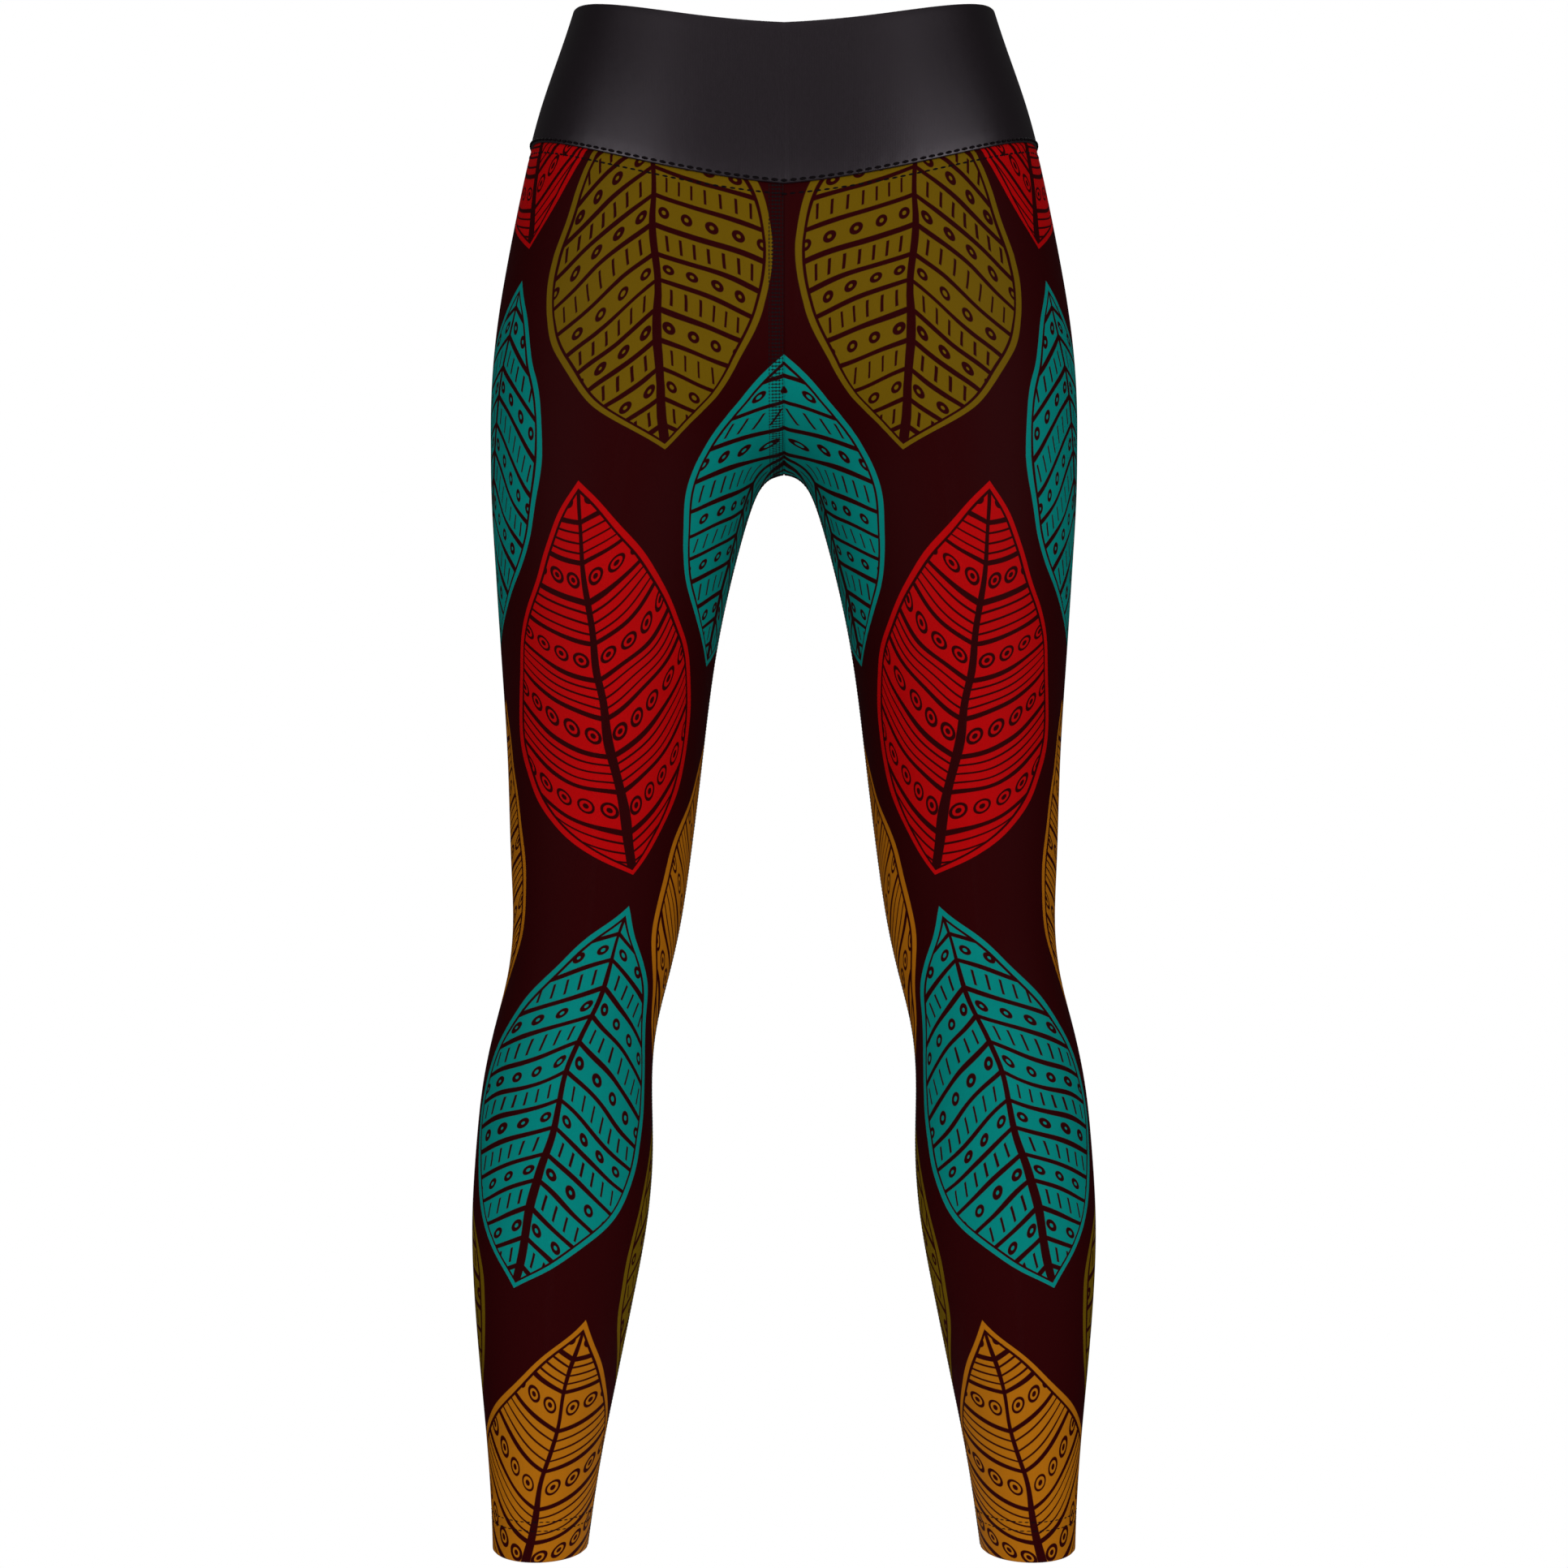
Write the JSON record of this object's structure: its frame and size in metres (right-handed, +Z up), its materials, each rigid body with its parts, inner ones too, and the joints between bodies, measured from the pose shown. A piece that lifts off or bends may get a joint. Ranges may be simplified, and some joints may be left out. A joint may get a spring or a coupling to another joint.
{
  "type": "leggings",
  "caption": "High-waisted stretch leggings, worn and filled out, with a wide folded waistband and ankle-length legs.",
  "frame": {"origin": "on the body's axis, halfway up the waistband, where the waist holds it", "axes": "+Z up, the front faces -Y, +X is the wearer's left"},
  "size_m": [0.3844, 0.2342, 0.9482],
  "materials": {
    "printed_knit": "smooth stretch jersey with a soft sheen, printed all over with leaves",
    "black_knit": "smooth double stretch jersey with a satin sheen"
  },
  "bodies": {
    "root": {"leg_left": "printed_knit", "leg_right": "printed_knit", "waistband_front": "black_knit", "waistband_back": "black_knit"}
  },
  "joints": []
}
